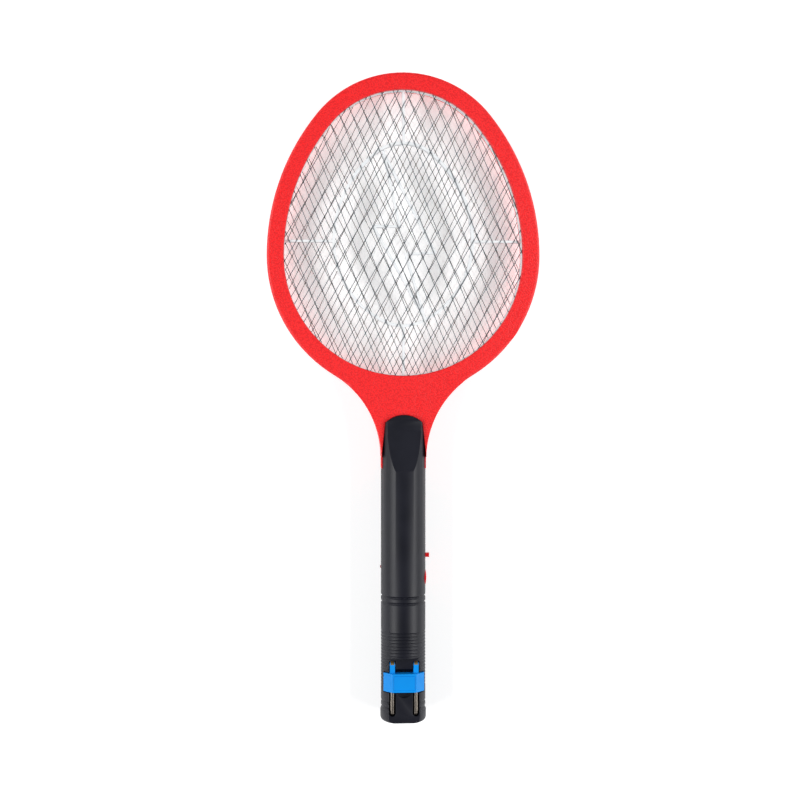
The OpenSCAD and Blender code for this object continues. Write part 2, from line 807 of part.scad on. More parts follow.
module circuit_board()
    color([0.10, 0.35, 0.18]) difference() {
        translate([-board_half_w, board_y[0], board_top - board_t])
            cube([2 * board_half_w, board_y[1] - board_y[0], board_t]);
        translate([button_flange_x - button_travel - 1.6, board_y[0] - 1, board_top - 5])
            cube([10, button_y - board_y[0] + button_r + 2.5, 10]);
    }

// Positions on the board, all measured from its top face
coil_y = 157;
core_size = [16, 14, 5];
leg_w = 4;

module transformer_core()
    color([0.20, 0.20, 0.22]) translate([0, coil_y, board_top + 5.5]) difference() {
        translate([-core_size[0] / 2, -core_size[1] / 2, -core_size[2] / 2]) cube(core_size);
        for (side = [-1, 1])
            translate([side * (leg_w / 2 + 2) - 2, -core_size[1] / 2 + 2, -5])
                cube([4, core_size[1] - 4, 10]);
    }

module transformer_coil()
    color([0.90, 0.75, 0.20]) translate([0, coil_y, board_top + 5.5]) difference() {
        translate([-leg_w / 2 - 3.8, -core_size[1] / 2 + 2.2, -5.5])
            cube([leg_w + 7.6, core_size[1] - 4.4, 11]);
        translate([-leg_w / 2, -10, -core_size[2] / 2]) cube([leg_w, 20, core_size[2]]);
    }

module hv_capacitor()
    color([0.45, 0.14, 0.10]) translate([-12, 134, board_top]) cube([6, 13, 9]);

module disc_capacitors()
    color([0.15, 0.40, 0.75]) for (y = [139, 145.5])
        translate([3, y, board_top + 3.5]) rotate([-90, 0, 0]) {
            cylinder(r = 3.5, h = 2.4);
        }

// An axial piece lying on the board at (x, y): a body and its two bent leads
module axial(x, y, r, l) translate([x, y, board_top + r + 0.4]) {
    translate([-l / 2, 0, 0]) x_rod(r, l);
    translate([-l / 2 - 1.5, 0, 0]) x_rod(0.3, l + 3);
    for (side = [-1, 1])
        translate([side * (l / 2 + 1.5), 0, -r - 0.4]) cylinder(r = 0.3, h = r + 0.4);
}

module rectifier_diodes()
    color([0.12, 0.12, 0.12]) for (i = [0:2]) axial(-1, 123 + i * 4, 1.3, 5);

module resistors()
    color([0.80, 0.70, 0.52]) for (i = [0:2]) axial(-7.5, 112 + i * 3.2, 1, 4);

module transistor()
    color([0.10, 0.10, 0.11]) translate([0, 115.7, board_top]) {
        difference() {
            translate([0, 0, 2]) cylinder(r = 2.3, h = 4.6);
            translate([-3, 1.2, 0]) cube([6, 3, 10]);
        }
        for (x = [-1.27, 0, 1.27]) translate([x - 0.2, -0.2, 0]) cube([0.4, 0.4, 2]);
    }

module battery()
    color([0.88, 0.88, 0.86])
        translate([-battery_size[0] / 2, battery_y, -battery_size[2] / 2]) cube(battery_size);

tab_x = 7;
tab_z = 5;
module battery_tabs()
    color(BRASS) for (side = [-1, 1])
        translate([side * tab_x - 1.5, battery_end_y, tab_z]) cube([3, 2.6, 0.5]);

module charge_board()
    color([0.62, 0.50, 0.28]) difference() {
        translate([-charge_half_w, charge_board_y[0], charge_board_z])
            cube([2 * charge_half_w, charge_board_y[1] - charge_board_y[0], board_t]);
        for (side = [-1, 1])
            translate([side * 6.5, charge_board_y[0] + 4, 0]) cylinder(r = 0.8, h = 10);
    }

module charge_capacitor()
    color([0.60, 0.20, 0.12]) translate([-9, 14, charge_board_z - 11]) cube([6.5, 15, 11]);

module charge_diodes()
    color([0.12, 0.12, 0.12]) for (i = [0:3])
        translate([2, 14 + i * 4.5, charge_board_z - 1.6]) {
            x_rod(1.2, 5);
            for (x = [-0.9, 5.5]) translate([x, 0, 0]) cylinder(r = 0.35, h = 1.6);
            translate([-0.9, 0, 0]) x_rod(0.35, 6.4);
        }

// ---- Leads ----

function unit(v) = v / norm(v);

// An insulated lead through the given points, none of which runs along X
module lead(points) {
    sides = 8;
    last = len(points) - 1;
    rings = [
        for (i = [0:last])
            let (
                along = unit(points[min(i + 1, last)] - points[max(i - 1, 0)]),
                up = unit(cross(along, [1, 0, 0])),
                across = cross(up, along)
            )
            for (k = [0:sides - 1])
                points[i] + lead_r * (cos(k * 360 / sides) * across + sin(k * 360 / sides) * up)
    ];
    walls = [
        for (i = [0:last - 1], k = [0:sides - 1])
            let (a = i * sides, next = (k + 1) % sides)
            [a + k, a + sides + k, a + sides + next, a + next]
    ];
    near_end = [for (k = [0:sides - 1]) k];
    far_end = [for (k = [sides - 1:-1:0]) last * sides + k];
    polyhedron(rings, concat([near_end], walls, [far_end]));
}

module mains_leads()
    color([0.55, 0.33, 0.16]) for (side = [-1, 1])
        lead([[side * pin_x, slot_end_y + 1, -lead_r], [side * pin_x, slot_end_y - 2, -2.5],
              [side * pin_x, charge_board_y[1] - 1, charge_board_z - lead_r]]);

charge_lead_x = cavity_r - 3;
module charge_leads()
    color([0.80, 0.10, 0.10]) for (side = [-1, 1])
        lead([[side * 11, charge_board_y[1] - 6, charge_board_z - lead_r],
              [side * charge_lead_x, battery_y, -1.2],
              [side * charge_lead_x, battery_end_y, -1.2],
              [side * 9, board_y[0] - lead_r, board_top - board_t / 2]]);

module battery_leads()
    color([0.10, 0.10, 0.12]) for (side = [-1, 1])
        lead([[side * tab_x, battery_end_y + 1.4, tab_z + 0.5 + lead_r],
              [side * tab_x, post_mid_y + 2, tab_z + 1],
              [side * tab_x, board_y[0] + 1, board_top + lead_r]]);

// Both head leads run from the board through the tail, between the neck's two posts
module head_lead(side)
    lead([[side * 6, board_y[1] - 3, board_top + lead_r],
          [side * 5, shoulder_y - tail_l - 2, 0],
          [side * 5, post_tail_y + 5, 0],
          [side * 2.4, post_neck[1] - 4, 0],
          [side * 2.4, apex_y + 4, 0],
          [side * lug_x, opening_low_y - mesh_edge - lug_l - 0.2 + 0.3 * side, 0]]);

module hv_lead() color([0.85, 0.12, 0.10]) head_lead(1);

module guard_lead() color([0.10, 0.10, 0.12]) {
    head_lead(-1);
    translate([-lug_x, opening_low_y - mesh_edge - lug_l - 0.5, -guard_top - 0.2])
        cylinder(r = lead_r, h = 2 * guard_top + 0.4, $fn = 24);
}

// ---- The part ----

place() head_front_frame();
place() head_rear_frame();
place() head_screws();
place() front_guard_mesh();
place() hv_mesh();
place() rear_guard_mesh();
place() front_spacer();
place() rear_spacer();
place() mesh_clips();
place() handle_front_shell();
place() handle_rear_shell();
place() handle_screws();
place() plug_carrier();
place() plug_pins();
place() plug_contacts();
place() plug_hinge_pin();
place() contact_springs();
place() switch_knob();
place() switch_body();
place() button_cap();
place() button_plunger();
place() button_switch();
place() indicator_led();
place() circuit_board();
place() transformer_core();
place() transformer_coil();
place() hv_capacitor();
place() disc_capacitors();
place() rectifier_diodes();
place() transistor();
place() resistors();
place() battery();
place() battery_tabs();
place() charge_board();
place() charge_capacitor();
place() charge_diodes();
place() mains_leads();
place() charge_leads();
place() battery_leads();
place() hv_lead();
place() guard_lead();
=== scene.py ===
"""Electric fly swatter: finishes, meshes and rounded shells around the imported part.

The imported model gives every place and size. Each sub-assembly is a class that builds its own
pieces, and each finish is a small procedural material.
"""

import logging
import math
from dataclasses import dataclass
from enum import Enum
from typing import Callable, Sequence, Union

import bmesh
import bpy
from mathutils import Matrix, Vector
from mathutils.geometry import intersect_point_line

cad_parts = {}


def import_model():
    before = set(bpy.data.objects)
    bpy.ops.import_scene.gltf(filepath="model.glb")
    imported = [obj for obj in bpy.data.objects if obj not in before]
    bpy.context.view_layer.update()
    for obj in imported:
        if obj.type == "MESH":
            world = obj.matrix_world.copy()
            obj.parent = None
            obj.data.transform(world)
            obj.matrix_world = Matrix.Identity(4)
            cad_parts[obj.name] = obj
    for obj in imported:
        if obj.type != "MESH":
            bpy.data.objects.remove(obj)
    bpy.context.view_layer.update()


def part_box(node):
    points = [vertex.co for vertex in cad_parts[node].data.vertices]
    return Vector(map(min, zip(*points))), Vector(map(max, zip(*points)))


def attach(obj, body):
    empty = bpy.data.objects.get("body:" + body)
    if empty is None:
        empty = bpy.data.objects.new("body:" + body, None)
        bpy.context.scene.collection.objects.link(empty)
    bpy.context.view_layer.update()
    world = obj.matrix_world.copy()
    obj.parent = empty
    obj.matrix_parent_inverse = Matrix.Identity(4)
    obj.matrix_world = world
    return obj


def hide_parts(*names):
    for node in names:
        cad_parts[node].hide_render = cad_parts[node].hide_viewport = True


log = logging.getLogger("fly_swatter")

Colour = tuple[float, float, float]
Number = Union[float, "Signal"]

MM = 0.001
BEVEL_LAYER = "bevel_weight_edge"

# What counts as one point, one flat face, one height and one corner in a CAD shape.
MERGE = 0.0005 * MM
FLAT_TURN = math.radians(0.3)
SAME_HEIGHT = 0.01 * MM
RIM_TURN = math.radians(50)
SHELL_CORNER = 40.0
SQUARE_CORNER = 60.0

# How rounded edges that would fold over themselves are found and left sharp.
FOLD_PASSES = 12
FOLD_AREA = 2e-3 * MM**2
FOLD_REACH = 1.5

SOFT_SHADING = 38.0
COAT_ROUGHNESS = 0.08
CELL_BLUR = 0.35


# ---- Shader maths ----


class Signal:
    """A number or colour that varies over a surface. Arithmetic on it adds Math nodes."""

    def __init__(self, graph: "Graph", socket: bpy.types.NodeSocket) -> None:
        """Wraps an output socket.

        Args:
            graph: The graph that the socket's node belongs to.
            socket: The output socket.
        """
        self.graph = graph
        self.socket = socket

    def _math(self, operation: str, first: Number, second: Number) -> "Signal":
        """Adds one Math node."""
        return self.graph.node("ShaderNodeMath", {"operation": operation}, {0: first, 1: second})

    def __add__(self, other: Number) -> "Signal":
        """Adds."""
        return self._math("ADD", self, other)

    def __radd__(self, other: Number) -> "Signal":
        """Adds."""
        return self._math("ADD", other, self)

    def __sub__(self, other: Number) -> "Signal":
        """Subtracts."""
        return self._math("SUBTRACT", self, other)

    def __rsub__(self, other: Number) -> "Signal":
        """Subtracts from a number."""
        return self._math("SUBTRACT", other, self)

    def __mul__(self, other: Number) -> "Signal":
        """Multiplies."""
        return self._math("MULTIPLY", self, other)

    def __rmul__(self, other: Number) -> "Signal":
        """Multiplies."""
        return self._math("MULTIPLY", other, self)

    def between(self, low: float, high: float) -> "Signal":
        """Rises smoothly from 0 to 1.

        Args:
            low: Where it starts to rise.
            high: Where it gets to 1.

        Returns:
            The risen signal.
        """
        return self.graph.node(
            "ShaderNodeMapRange",
            {"interpolation_type": "SMOOTHSTEP"},
            {"Value": self, "From Min": low, "From Max": high},
        )


class Graph:
    """A material's node tree, with one principled shader."""

    def __init__(self, name: str) -> None:
        """Makes an empty material with a principled shader and an output.

        Args:
            name: The material's name.
        """
        self.material = bpy.data.materials.new(name)
        self.material.use_nodes = True
        self.tree = self.material.node_tree
        self.tree.nodes.clear()
        self.shader = self.tree.nodes.new("ShaderNodeBsdfPrincipled")
        output = self.tree.nodes.new("ShaderNodeOutputMaterial")
        self.tree.links.new(self.shader.outputs["BSDF"], output.inputs["Surface"])

    def node(
        self,
        kind: str,
        settings: dict[str, object] | None = None,
        inputs: dict[int | str, object] | None = None,
        output: int | str = 0,
    ) -> Signal:
        """Adds one node.

        Args:
            kind: The node's type.
            settings: Its settings, which are set before its sockets.
            inputs: Values or signals of its sockets, by name or by number.
            output: The output that is wanted.

        Returns:
            The wanted output.
        """
        made = self.tree.nodes.new(kind)
        for key, value in (settings or {}).items():
            setattr(made, key, value)
        for key, value in (inputs or {}).items():
            self._feed(made.inputs[key], value)
        return Signal(self, made.outputs[output])

    def _feed(self, socket: bpy.types.NodeSocket, value: object) -> None:
        """Links a signal to a socket, or sets a plain value on it.

        Args:
            socket: The input socket.
            value: A signal or a plain value.
        """
        if isinstance(value, Signal):
            self.tree.links.new(value.socket, socket)
        else:
            socket.default_value = value

    def place(self, stretch: Sequence[float] = (1, 1, 1)) -> Signal:
        """Object coordinates in millimetres, divided by stretch along each axis.

        Args:
            stretch: How much longer the pattern is along X, Y and Z.

        Returns:
            The coordinates.
        """
        spot = self.node("ShaderNodeTexCoord", output="Object")
        scale = tuple(1 / (MM * share) for share in stretch)
        return self.node("ShaderNodeMapping", {}, {"Vector": spot, "Scale": scale})

    def noise(self, spot: Signal, size_mm: float, detail: float = 2.0) -> Signal:
        """Soft noise whose blotches are about size_mm across."""
        inputs = {"Vector": spot, "Scale": 1 / size_mm, "Detail": detail}
        return self.node("ShaderNodeTexNoise", {}, inputs, "Fac")

    def cells(self, spot: Signal, size_mm: float) -> Signal:
        """Distance to the nearest of many points about size_mm apart, in share of that."""
        inputs = {"Vector": spot, "Scale": 1 / size_mm, "Smoothness": CELL_BLUR}
        return self.node("ShaderNodeTexVoronoi", {"feature": "SMOOTH_F1"}, inputs, "Distance")

    def mix(self, share: Number, first: object, second: object) -> Signal:
        """Goes from the first colour at share 0 to the second at share 1."""
        inputs = {0: share, 6: _rgba(first), 7: _rgba(second)}
        return self.node("ShaderNodeMix", {"data_type": "RGBA"}, inputs, 2)

    def set(self, socket: str, value: object) -> None:
        """Gives one of the principled shader's sockets a value or a signal."""
        self._feed(self.shader.inputs[socket], _rgba(value) if "Color" in socket else value)

    def relief(self, height: Signal, depth_mm: float) -> None:
        """Raises the surface by height times depth_mm, in shading alone."""
        inputs = {"Height": height, "Distance": depth_mm * MM, "Strength": 1.0}
        self.set("Normal", self.node("ShaderNodeBump", {}, inputs))


def _rgba(value: object) -> object:
    """A colour with an alpha, if value is a plain colour."""
    return (*value, 1.0) if isinstance(value, tuple) and len(value) == 3 else value


# ---- Finishes ----


class Texture(Enum):
    """The ways that a surface is textured."""

    PEBBLE = "small rounded pebbles, as in textured moulded plastic"
    SATIN = "fine spark-eroded grain of a smooth mould"
    BRUSHED = "fine lines along the length"
    DULL = "uneven, as on dull plating or a dipped coat"


@dataclass(frozen=True)
class Finish:
    """How a material looks."""

    name: str
    colour: Colour
    tone: Colour
    roughness: float
    texture: Texture = Texture.SATIN
    metallic: float = 0.0
    grain_mm: float = 0.35
    depth_mm: float = 0.01
    coat: float = 0.0
    ior: float = 1.5

    def material(self) -> bpy.types.Material:
        """The material, which is made once.

        Returns:
            The material named after this finish.
        """
        name = f"{self.name}_finish"
        found = bpy.data.materials.get(name)
        if found:
            return found
        graph = Graph(name)
        builders: dict[Texture, Callable[[Graph], None]] = {
            Texture.PEBBLE: self._pebble,
            Texture.SATIN: self._satin,
            Texture.BRUSHED: self._brushed,
            Texture.DULL: self._dull,
        }
        graph.set("Metallic", self.metallic)
        graph.set("IOR", self.ior)
        if self.coat:
            graph.set("Coat Weight", self.coat)
            graph.set("Coat Roughness", COAT_ROUGHNESS)
        builders[self.texture](graph)
        graph.material.diffuse_color = (*self.colour, 1.0)
        return graph.material

    def _pebble(self, graph: Graph) -> None:
        """Pebbles whose valleys are painted darker as painted shade, over slow changes of tone.

        Args:
            graph: The material's graph.
        """
        bend_scale, cloud_grains, fine_grains = 0.45, 2.2, 0.3
        top, bottom = 0.32, 0.72
        valley_shade_tone, cloud_tone = 0.75, 0.25
        valley_rough, fine_rough, fine_height = 0.14, 0.05, 0.22
        spot = graph.place()
        cloud = graph.noise(spot, self.grain_mm * cloud_grains, 1.0)
        bend = graph.node(
            "ShaderNodeTexNoise", {}, {"Vector": spot, "Scale": bend_scale}, "Color"
        )
        bent = graph.node(
            "ShaderNodeVectorMath",
            {"operation": "MULTIPLY_ADD"},
            {0: bend, 1: (self.grain_mm,) * 3, 2: spot},
        )
        valley = graph.cells(bent, self.grain_mm).between(top, bottom)
        fine = graph.noise(spot, self.grain_mm * fine_grains)
        # The valleys between pebbles are painted darker as painted shade; the cloud is random
        # tone.
        share = valley_shade_tone * valley + cloud_tone * cloud
        graph.set("Base Color", graph.mix(share, self.colour, self.tone))
        graph.set("Roughness", self.roughness + valley_rough * valley + fine_rough * fine)
        graph.relief(1 - valley + fine_height * fine, self.depth_mm)

    def _satin(self, graph: Graph) -> None:
        """Fine even grain, with faint slow changes of gloss and tone.

        Args:
            graph: The material's graph.
        """
        cloud_mm, low, high = 22.0, 0.3, 0.7
        smoother, cloud_rough, grain_rough = 0.03, 0.08, 0.04
        spot = graph.place()
        cloud = graph.noise(spot, cloud_mm, 3.0)
        grain = graph.noise(spot, self.grain_mm)
        graph.set("Base Color", graph.mix(cloud.between(low, high), self.colour, self.tone))
        rough = self.roughness - smoother + cloud_rough * cloud + grain_rough * grain
        graph.set("Roughness", rough)
        graph.relief(grain, self.depth_mm)

    def _brushed(self, graph: Graph) -> None:
        """Fine lines along Y.

        Args:
            graph: The material's graph.
        """
        stretch, low, high, line_rough = 30.0, 0.35, 0.65, 0.16
        lines = graph.noise(graph.place((1.0, stretch, 1.0)), self.grain_mm, 3.0)
        graph.set("Base Color", graph.mix(lines.between(low, high), self.colour, self.tone))
        graph.set("Roughness", self.roughness + line_rough * lines)
        graph.relief(lines, self.depth_mm)

    def _dull(self, graph: Graph) -> None:
        """Blotches of tone at two sizes, and an uneven gloss.

        Args:
            graph: The material's graph.
        """
        blotch_grains, low, high = 6, 0.35, 0.65
        blotch_tone, fine_tone, blotch_rough = 0.65, 0.35, 0.18
        spot = graph.place()
        blotch = graph.noise(spot, self.grain_mm * blotch_grains, 3.0)
        fine = graph.noise(spot, self.grain_mm)
        share = blotch_tone * blotch.between(low, high) + fine_tone * fine
        graph.set("Base Color", graph.mix(share, self.colour, self.tone))
        graph.set("Roughness", self.roughness + blotch_rough * blotch)
        graph.relief(fine + blotch, self.depth_mm)


# The darker tone paints shade into the pebbles' valleys and also gives random cloudy tone.
RED_PLASTIC = Finish(
    "red_pebbled_plastic", (0.97, 0.016, 0.018), (0.70, 0.002, 0.005), 0.36,
    Texture.PEBBLE, grain_mm=1.15, depth_mm=0.11,
)
CHARCOAL_PLASTIC = Finish(
    "charcoal_plastic", (0.0035, 0.004, 0.009), (0.006, 0.0065, 0.013), 0.42, depth_mm=0.006,
    ior=1.42,
)
BLUE_PLASTIC = Finish("blue_plastic", (0.0, 0.275, 0.80), (0.0, 0.25, 0.74), 0.38, depth_mm=0.005,
                      ior=1.38)
WHITE_PLASTIC = Finish(
    "white_plastic", (0.86, 0.87, 0.88), (0.80, 0.82, 0.84), 0.42, depth_mm=0.008
)
RED_GLOSS = Finish("red_gloss_plastic", (0.95, 0.008, 0.012), (0.90, 0.006, 0.010), 0.25,
                   depth_mm=0.003)
LAMP = Finish("red_lamp_epoxy", (0.20, 0.008, 0.018), (0.15, 0.005, 0.012), 0.12, coat=1.0,
              depth_mm=0.001)
BLACK_PLASTIC = Finish("black_plastic", (0.012, 0.012, 0.013), (0.02, 0.02, 0.022), 0.5)
GUARD_WIRE = Finish("dull_plated_wire", (0.060, 0.075, 0.090), (0.11, 0.125, 0.14), 0.42,
                    Texture.DULL, metallic=0.75, grain_mm=0.9, depth_mm=0.012)
REAR_WIRE = Finish("aged_plated_wire", (0.095, 0.085, 0.075), (0.15, 0.135, 0.12), 0.45,
                   Texture.DULL, metallic=0.75, grain_mm=0.9, depth_mm=0.012)
FINE_WIRE = Finish("bright_mesh_wire", (0.40, 0.41, 0.42), (0.55, 0.55, 0.56), 0.38,
                   Texture.DULL, metallic=0.9, grain_mm=0.7, depth_mm=0.006)
ZINC = Finish("zinc_plated_steel", (0.52, 0.53, 0.55), (0.62, 0.62, 0.62), 0.28,
              Texture.DULL, metallic=1.0, grain_mm=0.5, depth_mm=0.004)
TIN_CAN = Finish("tinned_steel", (0.50, 0.50, 0.50), (0.60, 0.60, 0.60), 0.30,
                 Texture.BRUSHED, metallic=1.0, grain_mm=0.2, depth_mm=0.003)
# Nickel darkened to a brownish grey: painted shade for the pins lying in their black slots, with
# a little tarnish.
SHADED_NICKEL = Finish("nickel_brass_painted_shade", (0.15, 0.13, 0.11), (0.25, 0.22, 0.19), 0.34,
                Texture.BRUSHED, metallic=1.0, grain_mm=0.35, depth_mm=0.01)
BRASS = Finish("spring_brass", (0.62, 0.44, 0.16), (0.74, 0.55, 0.22), 0.3,
               Texture.BRUSHED, metallic=1.0, grain_mm=0.25, depth_mm=0.004)
SOLDER_MASK = Finish("green_solder_mask", (0.012, 0.09, 0.03), (0.02, 0.13, 0.045), 0.3,
                     coat=0.4, grain_mm=0.6)
PHENOLIC = Finish("phenolic_board", (0.36, 0.25, 0.10), (0.44, 0.32, 0.15), 0.55,
                  Texture.DULL, grain_mm=0.4)
FERRITE = Finish("ferrite", (0.03, 0.03, 0.034), (0.05, 0.05, 0.054), 0.6, Texture.DULL)
COIL_TAPE = Finish("yellow_coil_tape", (0.72, 0.46, 0.03), (0.80, 0.55, 0.06), 0.26,
                   Texture.BRUSHED, grain_mm=0.5)
BROWN_DIP = Finish("brown_dipped_film", (0.20, 0.035, 0.018), (0.27, 0.05, 0.025), 0.2,
                   Texture.DULL, coat=0.5)
BLUE_DIP = Finish("blue_dipped_ceramic", (0.02, 0.10, 0.36), (0.03, 0.14, 0.45), 0.25,
                  Texture.DULL, coat=0.5)
TAN_LACQUER = Finish("tan_lacquer", (0.55, 0.38, 0.18), (0.62, 0.45, 0.24), 0.4, Texture.DULL)
BATTERY_CASE = Finish("battery_case_plastic", (0.72, 0.72, 0.68), (0.66, 0.66, 0.62), 0.45)
BROWN_SLEEVE = Finish("brown_sleeve", (0.14, 0.06, 0.025), (0.18, 0.08, 0.035), 0.4)
RED_SLEEVE = Finish("red_sleeve", (0.60, 0.015, 0.015), (0.68, 0.02, 0.02), 0.4)
BLACK_SLEEVE = Finish("black_sleeve", (0.015, 0.015, 0.016), (0.025, 0.025, 0.027), 0.42)


# ---- Mesh building ----


class Shape:
    """A mesh being made, in metres and in the part's own frame."""

    def __init__(self) -> None:
        """Starts empty."""
        self.bm = bmesh.new()
        self.bm.edges.layers.float.new(BEVEL_LAYER)

    @classmethod
    def copied(cls, node: str) -> "Shape":
        """Starts from a merged copy of a CAD node, with its flat faces made whole.

        Args:
            node: The node's name.

        Returns:
            The shape.
        """
        shape = cls()
        shape.bm.from_mesh(bpy.data.objects[node].data)
        bmesh.ops.remove_doubles(shape.bm, verts=shape.bm.verts, dist=MERGE)
        bmesh.ops.dissolve_degenerate(shape.bm, dist=MERGE, edges=shape.bm.edges)
        bmesh.ops.dissolve_limit(
            shape.bm, angle_limit=FLAT_TURN, verts=shape.bm.verts, edges=shape.bm.edges
        )
        return shape

    def rod(self, start: Vector, end: Vector, radius: float, sides: int = 12) -> None:
        """Adds a closed round rod between two points.

        Args:
            start: The middle of one end.
            end: The middle of the other end.
            radius: The rod's radius.
            sides: How many sides its section has.
        """
        run = end - start
        turn = run.to_track_quat("Z", "Y").to_matrix().to_4x4()
        bmesh.ops.create_cone(
            self.bm, cap_ends=True, segments=sides, radius1=radius, radius2=radius,
            depth=run.length, matrix=Matrix.Translation((start + end) / 2) @ turn,
        )

    def bead(self, centre: Vector, size: Vector) -> None:
        """Adds a small rounded bead.

        Args:
            centre: Its middle.
            size: Its half sizes.
        """
        scale = Matrix.Diagonal((*size, 1.0))
        bmesh.ops.create_icosphere(
            self.bm, subdivisions=1, radius=1.0, matrix=Matrix.Translation(centre) @ scale
        )

    def block(self, low: Sequence[float], high: Sequence[float]) -> None:
        """Adds a box between two corners.

        Args:
            low: The lower corner.
            high: The upper corner.
        """
        low, high = Vector(low), Vector(high)
        scale = Matrix.Diagonal((*(high - low), 1.0))
        matrix = Matrix.Translation((low + high) / 2) @ scale
        bmesh.ops.create_cube(self.bm, size=1.0, matrix=matrix)

    def islands(self) -> list[tuple[Vector, Vector]]:
        """Finds the box round each separate solid of the shape.

        Returns:
            The lower and the upper corner of each box.
        """
        left = set(self.bm.verts)
        boxes = []
        while left:
            todo = [left.pop()]
            found = []
            while todo:
                vert = todo.pop()
                found.append(vert.co)
                near = {edge.other_vert(vert) for edge in vert.link_edges} & left
                left -= near
                todo += near
            low = Vector(min(co[axis] for co in found) for axis in range(3))
            high = Vector(max(co[axis] for co in found) for axis in range(3))
            boxes.append((low, high))
        return boxes

    def cut(self, tool: "Shape") -> None:
        """Takes a shape away from this one.

        Args:
            tool: The shape to take away, which is used up.
        """
        pair = []
        for shape in (self, tool):
            mesh = bpy.data.meshes.new("cut")
            shape.bm.to_mesh(mesh)
            shape.bm.free()
            pair.append(bpy.data.objects.new("cut", mesh))
            bpy.context.scene.collection.objects.link(pair[-1])
        body, blade = pair
        carve = body.modifiers.new("carve", "BOOLEAN")
        carve.object = blade
        carve.use_self = True
        _bake(body)
        self.bm = bmesh.new()
        self.bm.from_mesh(body.data)
        if BEVEL_LAYER not in self.bm.edges.layers.float:
            self.bm.edges.layers.float.new(BEVEL_LAYER)
        for used in pair:
            bpy.data.objects.remove(used)

    def weigh(self, weight: Callable[[bmesh.types.BMEdge, float], float]) -> None:
        """Sets how far each edge is rounded, as a share of the widest rounding.

        Args:
            weight: Takes an edge and the angle at it in degrees, and returns 0 to 1.
        """
        layer = self.bm.edges.layers.float[BEVEL_LAYER]
        for edge in self.bm.edges:
            if len(edge.link_faces) == 2:
                edge[layer] = weight(edge, math.degrees(edge.calc_face_angle(0.0)))

    def weigh_corners(self, least: float) -> None:
        """Rounds every edge sharper than least degrees in full."""
        self.weigh(lambda edge, angle: 1.0 if angle > least else 0.0)

    def wide_loops(self, height: float, least: float) -> set[bmesh.types.BMEdge]:
        """The sharp edges at a height that form loops wider than least.

        Args:
            height: The height of the edges.
            least: How wide a loop must be to count.

        Returns:
            The edges.
        """
        level = {
            e for e in self.bm.edges
            if len(e.link_faces) == 2 and e.calc_face_angle(0.0) > RIM_TURN
            and all(abs(v.co.z - height) < SAME_HEIGHT for v in e.verts)
        }
        found = set()
        while level:
            loop = set()
            todo = [level.pop()]
            while todo:
                edge = todo.pop()
                loop.add(edge)
                for linked in {e for v in edge.verts for e in v.link_edges} & level:
                    level.discard(linked)
                    todo.append(linked)
            across = [v.co.x for e in loop for v in e.verts]
            if max(across) - min(across) > least:
                found |= loop
        return found

    def piece(
        self, name: str, finish: Finish, body: str, nodes: Sequence[str], slot: str,
        width: float = 0.0, segments: int = 3, smooth: float = SOFT_SHADING, level: bool = True,
    ) -> bpy.types.Object:
        """Turns the shape into a piece that rides on a body.

        Args:
            name: The piece's name.
            finish: Its finish.
            body: The body that it moves with.
            nodes: The CAD nodes that it stands for.
            slot: The record's material slot; not used.
            width: The widest rounding of its weighed edges, or 0 for none.
            segments: How many steps a rounded edge has.
            smooth: The angle up to which edges are shaded smoothly.
            level: Whether wide faces are shaded flat between their rounded edges.

        Returns:
            The object.
        """
        mesh = bpy.data.meshes.new(name)
        self.bm.to_mesh(mesh)
        self.bm.free()
        made = bpy.data.objects.new(name, mesh)
        bpy.context.scene.collection.objects.link(made)
        if width:
            _round(made, width, segments)
        _shade(made.data, smooth)
        if level:
            weighted = made.modifiers.new("face normals", "WEIGHTED_NORMAL")
            weighted.keep_sharp = True
            _bake(made)
        made.data.materials.clear()
        made.data.materials.append(finish.material())
        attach(made, body)
        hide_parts(*nodes)
        log.info("%s: %d faces on %s", name, len(made.data.polygons), body)
        return made


def _round(made: bpy.types.Object, width: float, segments: int) -> None:
    """Rounds an object's weighed edges, and leaves those sharp whose rounding would not fit.

    Args:
        made: The object.
        width: The widest rounding.
        segments: How many steps a rounded edge has.
    """
    rounding = made.modifiers.new("rounding", "BEVEL")
    rounding.limit_method = "WEIGHT"
    rounding.width = width
    rounding.segments = segments
    rounding.use_clamp_overlap = False
    weights = made.data.attributes[BEVEL_LAYER].data
    verts = made.data.vertices
    sharp = 0
    for _ in range(FOLD_PASSES):
        graph = bpy.context.evaluated_depsgraph_get()
        mesh = bpy.data.meshes.new_from_object(made.evaluated_get(graph))
        faults = _folds(mesh)
        bpy.data.meshes.remove(mesh)
        if not faults:
            break
        for edge in made.data.edges:
            if weights[edge.index].value:
                a, b = (verts[i].co for i in edge.vertices)
                if any(_apart(spot, a, b) < FOLD_REACH * width for spot in faults):
                    weights[edge.index].value = 0.0
                    sharp += 1
        made.data.update()
        made.update_tag()
    if sharp:
        log.info("%s: %d edges are left sharp", made.name, sharp)
    _bake(made)


def _folds(mesh: bpy.types.Mesh) -> list[Vector]:
    """Finds where the faces of a mesh fold over themselves.

    Args:
        mesh: The mesh.

    Returns:
        The corners of the triangles that face the wrong way.
    """
    bm = bmesh.new()
    bm.from_mesh(mesh)
    spots = []
    for loops in bm.calc_loop_triangles():
        a, b, c = (loop.vert.co for loop in loops)
        across = (b - a).cross(c - a)
        if across.dot(loops[0].face.normal) < -FOLD_AREA:
            spots += [a.copy(), b.copy(), c.copy()]
    bm.free()
    return spots


def _apart(spot: Vector, start: Vector, end: Vector) -> float:
    """How far a spot is from the line between start and end."""
    near, share = intersect_point_line(spot, start, end)
    return (spot - (start if share < 0 else end if share > 1 else near)).length


def _bake(made: bpy.types.Object) -> None:
    """Applies an object's modifiers to its mesh.

    Args:
        made: The object.
    """
    graph = bpy.context.evaluated_depsgraph_get()
    mesh = bpy.data.meshes.new_from_object(made.evaluated_get(graph))
    made.modifiers.clear()
    made.data = mesh


